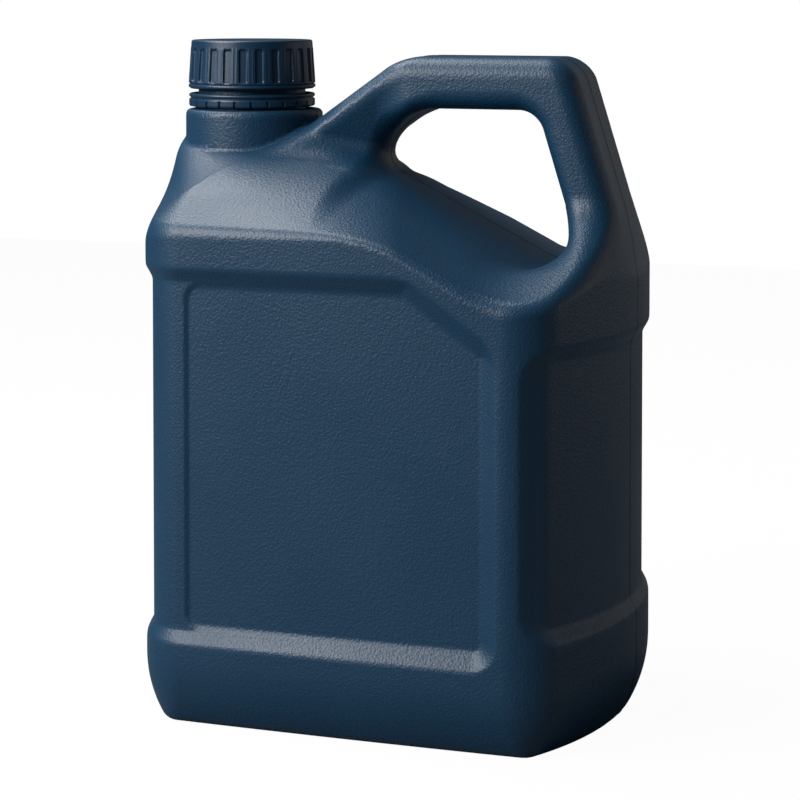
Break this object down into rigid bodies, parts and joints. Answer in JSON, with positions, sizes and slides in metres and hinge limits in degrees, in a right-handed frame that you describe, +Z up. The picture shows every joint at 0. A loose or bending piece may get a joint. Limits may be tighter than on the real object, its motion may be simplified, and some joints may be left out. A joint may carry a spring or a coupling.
{
  "type": "motor oil bottle",
  "caption": "Blow-moulded jug with a hollow side handle, sunk label panels and a ribbed screw cap above a tamper ring.",
  "frame": {"origin": "centre of the footprint, on the surface that the jug stands on", "axes": "+Z up; X from the neck towards the handle leg; the mould's parting plane is Y = 0, and -Y is the front face"},
  "size_m": [0.188, 0.142, 0.2545],
  "materials": {
    "bottle_hdpe": "blow-moulded polyethylene, satin, with a fine leather-like grain",
    "cap_hdpe": "injection-moulded polyethylene, satin",
    "liner_foam": "foamed polyethylene, matt"
  },
  "bodies": {
    "bottle": {"bottle": "bottle_hdpe", "tamper_ring": "cap_hdpe"},
    "sealing_liner": {"sealing_liner": "liner_foam"},
    "cap": {"cap": "cap_hdpe"}
  },
  "joints": [
    {"name": "cap_lift", "type": "slide", "parent": "bottle", "child": "sealing_liner", "axis": [0, 0, 1], "range_m": [0, 0.006]},
    {"name": "cap_turn", "type": "hinge", "parent": "sealing_liner", "child": "cap", "pos_m": [-0.0627, 0, 0.24], "axis": [0, 0, 1], "range_deg": [0, 540]}
  ],
  "couplings": [
    {"joint": "cap_lift", "follows": "cap_turn", "m_per_rad": 0.00063662}
  ]
}
